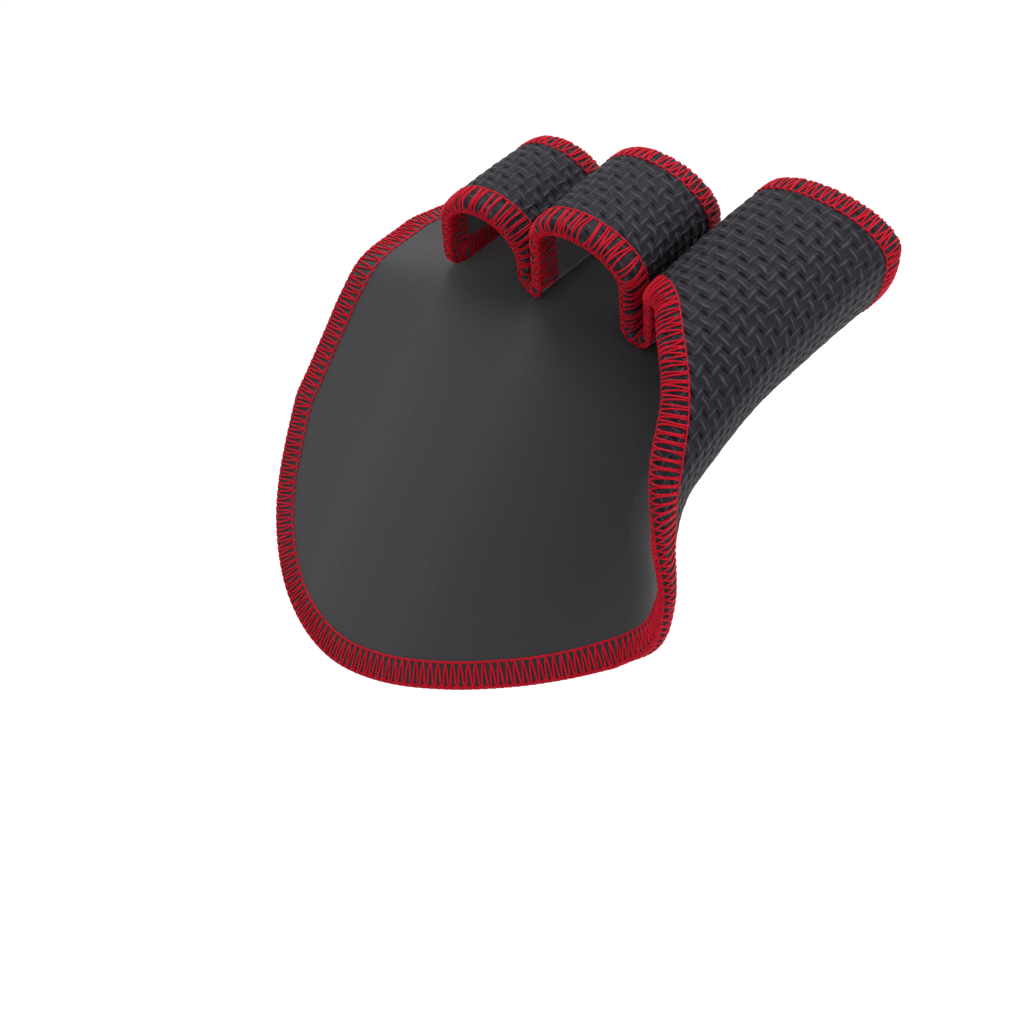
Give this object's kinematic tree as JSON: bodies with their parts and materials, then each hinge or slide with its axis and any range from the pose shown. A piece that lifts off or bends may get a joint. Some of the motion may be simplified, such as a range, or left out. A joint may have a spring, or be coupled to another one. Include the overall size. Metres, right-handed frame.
{
  "type": "weightlifting hand grip",
  "caption": "Neoprene weightlifting hand grip for the left hand, with finger loops, a palm pad and a red overlocked edge.",
  "frame": {"origin": "inner face at the top of the middle finger's loop, half way along it, where the middle finger carries the grip", "axes": "+X across the hand to the thumb side, +Y along the fingers to their tips, +Z out of the back of the hand"},
  "size_m": [0.11, 0.0997, 0.0883],
  "materials": {
    "neoprene": "matt embossed weave",
    "thread": "twisted polyester thread"
  },
  "bodies": {
    "root": {"grip_sheet": "neoprene", "overlock_edging": "thread"}
  },
  "joints": []
}
